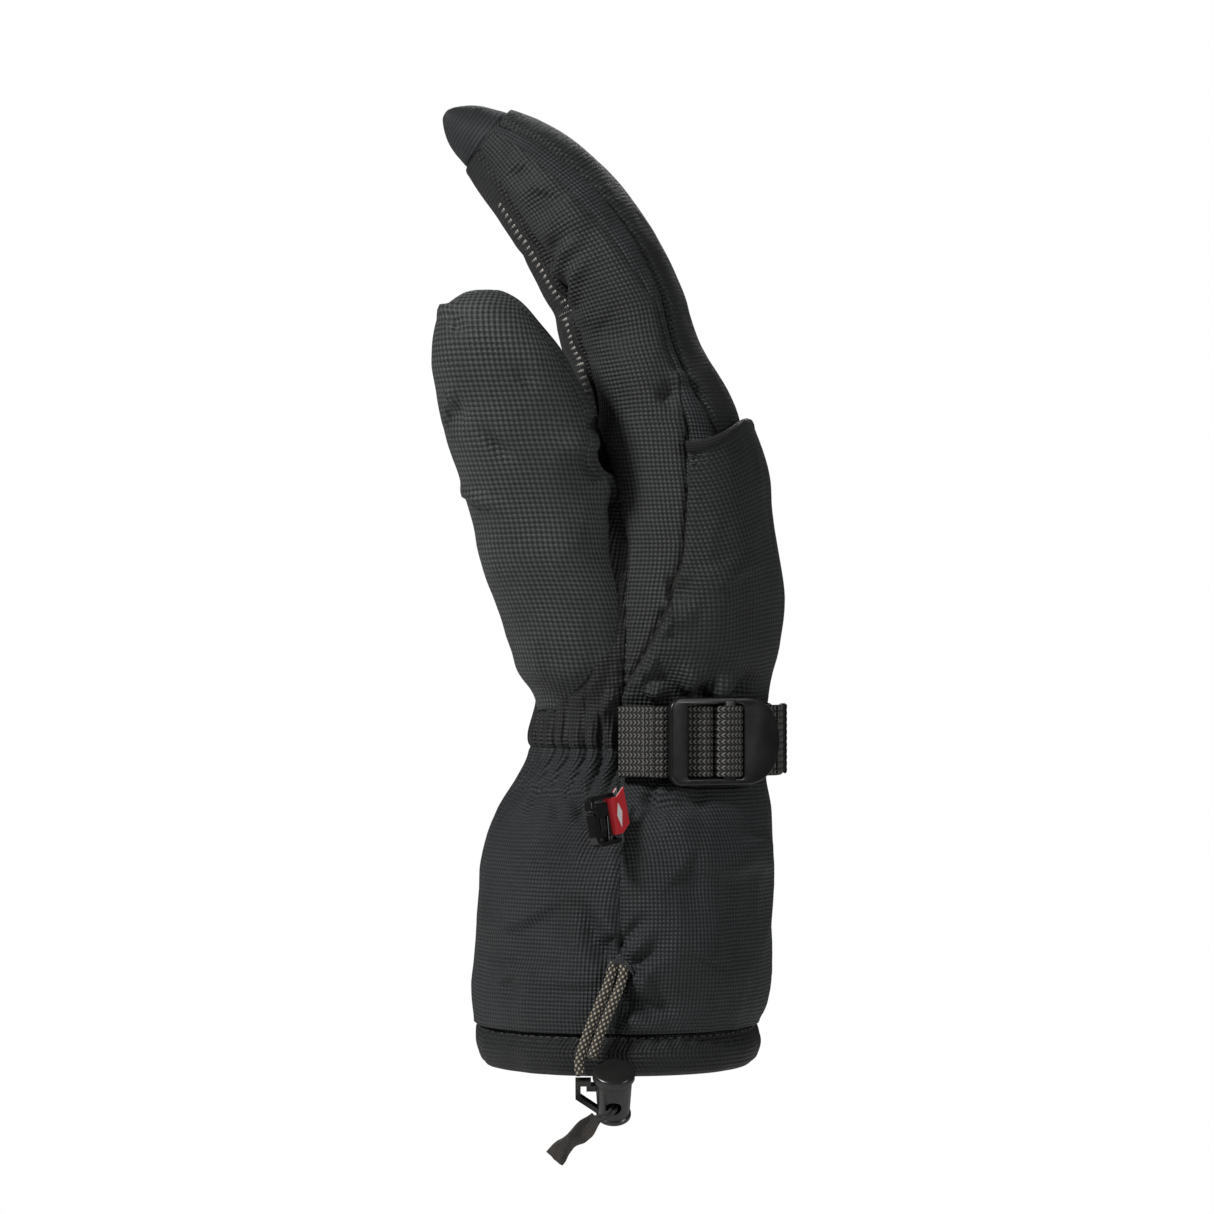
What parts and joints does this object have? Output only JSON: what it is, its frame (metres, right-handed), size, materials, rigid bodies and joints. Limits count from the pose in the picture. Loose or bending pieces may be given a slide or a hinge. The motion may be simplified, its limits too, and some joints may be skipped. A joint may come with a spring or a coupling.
{
  "type": "ski mitten",
  "caption": "Insulated gauntlet ski mitten with a wrist strap and ladder buckle, a cuff drawcord with a cord lock, a glove clip and a curved finger pocket.",
  "frame": {"origin": "centre of the cuff's mouth, in the plane of the hem's edge", "axes": "+Z from the cuff to the fingertips, +X towards the back of the hand, -Y towards the thumb"},
  "size_m": [0.1253, 0.14, 0.3715],
  "materials": {
    "cuff_shell": "coated oxford weave",
    "hand_shell": "coated oxford weave",
    "gusset_shell": "coated oxford weave",
    "back_shell": "coated oxford weave",
    "thumb_shell": "coated oxford weave",
    "binding": "folded woven tape",
    "elastic": "covered elastic",
    "insulation": "lofted fibre",
    "insert_film": "soft film",
    "lining": "brushed knit",
    "webbing": "ribbed woven webbing",
    "drawcord": "braided cord with pale flecks",
    "label": "woven ribbon",
    "grip": "dotted grip print",
    "buckle_plastic": "satin moulded",
    "clip_plastic": "gloss moulded",
    "spring_steel": "drawn wire",
    "tab_cord": "smooth cord",
    "tab_fabric": "woven tape"
  },
  "bodies": {
    "gauntlet": {"cuff_hem": "binding", "cuff_palm_panel": "cuff_shell", "cuff_back_panel": "cuff_shell", "wrist_gather": "cuff_shell", "wrist_elastic": "elastic", "hand_palm_panel": "hand_shell", "thumb_side_gusset": "gusset_shell", "hand_back_panel": "back_shell", "outer_side_gusset": "gusset_shell", "thumb_base_panel": "thumb_shell", "back_overlay": "back_shell", "overlay_binding": "binding", "hand_insulation": "insulation", "hand_insert": "insert_film", "hand_lining": "lining", "wrist_strap": "webbing", "strap_anchor": "webbing", "channel_cord": "drawcord", "channel_exit": "binding", "loop_label": "label", "finger_flex_zone": "gusset_shell", "thumb_flex_zone": "thumb_shell", "drawcord_front": "drawcord", "drawcord_rear": "drawcord"},
    "fingers": {"finger_back_panel": "back_shell", "finger_gusset_outer": "gusset_shell", "finger_palm_panel": "hand_shell", "finger_gusset_inner": "gusset_shell", "fingertip_cap": "gusset_shell", "palm_grip_patch": "grip", "finger_insulation": "insulation", "finger_insert": "insert_film", "finger_lining": "lining"},
    "thumb": {"thumb_front_panel": "thumb_shell", "thumb_rear_panel": "thumb_shell", "thumb_insulation": "insulation", "thumb_insert": "insert_film", "thumb_lining": "lining"},
    "buckle": {"ladder_buckle": "buckle_plastic", "anchor_loop": "webbing", "strap_weave": "webbing"},
    "strap_tail": {"strap_tail": "webbing"},
    "clip": {"glove_clip": "clip_plastic"},
    "cord_lock": {"lock_body": "clip_plastic"},
    "lock_button": {"lock_button": "clip_plastic", "lock_spring": "spring_steel"},
    "pull_tab": {"tab_loop": "tab_cord", "pull_tab": "tab_fabric"}
  },
  "joints": [
    {"name": "finger_flex", "type": "hinge", "parent": "gauntlet", "child": "fingers", "pos_m": [0.043, 0, 0.23], "axis": [0, 1, 0], "range_deg": [-8, 15], "stiffness_Nm_per_rad": 2, "deforming": ["finger_flex_zone"]},
    {"name": "thumb_flex", "type": "hinge", "parent": "gauntlet", "child": "thumb", "pos_m": [-0.02, -0.035, 0.15], "axis": [0, 1, 0], "range_deg": [-18, 0], "stiffness_Nm_per_rad": 1.2, "deforming": ["thumb_flex_zone"]},
    {"name": "buckle_tilt", "type": "hinge", "parent": "gauntlet", "child": "buckle", "pos_m": [0.0156, -0.05, 0.116], "axis": [0, 0, -1], "range_deg": [0, 20], "stiffness_Nm_per_rad": 0.05},
    {"name": "tail_lift", "type": "hinge", "parent": "buckle", "child": "strap_tail", "pos_m": [0.056, -0.0268, 0.116], "axis": [0, 0, -1], "range_deg": [0, 40], "stiffness_Nm_per_rad": 0.01},
    {"name": "clip_swing", "type": "hinge", "parent": "gauntlet", "child": "clip", "pos_m": [-0.0018, -0.0605, 0.09], "axis": [-0.1736, 0, 0.9848], "range_deg": [-40, 50]},
    {"name": "lock_slide", "type": "slide", "parent": "gauntlet", "child": "cord_lock", "axis": [0.2199, -0.3999, 0.8898], "range_m": [0, 0.018], "deforming": ["drawcord_front", "drawcord_rear"]},
    {"name": "button_press", "type": "slide", "parent": "cord_lock", "child": "lock_button", "axis": [0, 0.5299, -0.848], "range_m": [0, 0.0026], "stiffness_N_per_m": 600, "deforming": ["lock_spring"]},
    {"name": "tab_swing", "type": "hinge", "parent": "cord_lock", "child": "pull_tab", "pos_m": [-0.0013, -0.0675, -0.009], "axis": [0, 1, 0], "range_deg": [-50, 15]}
  ]
}
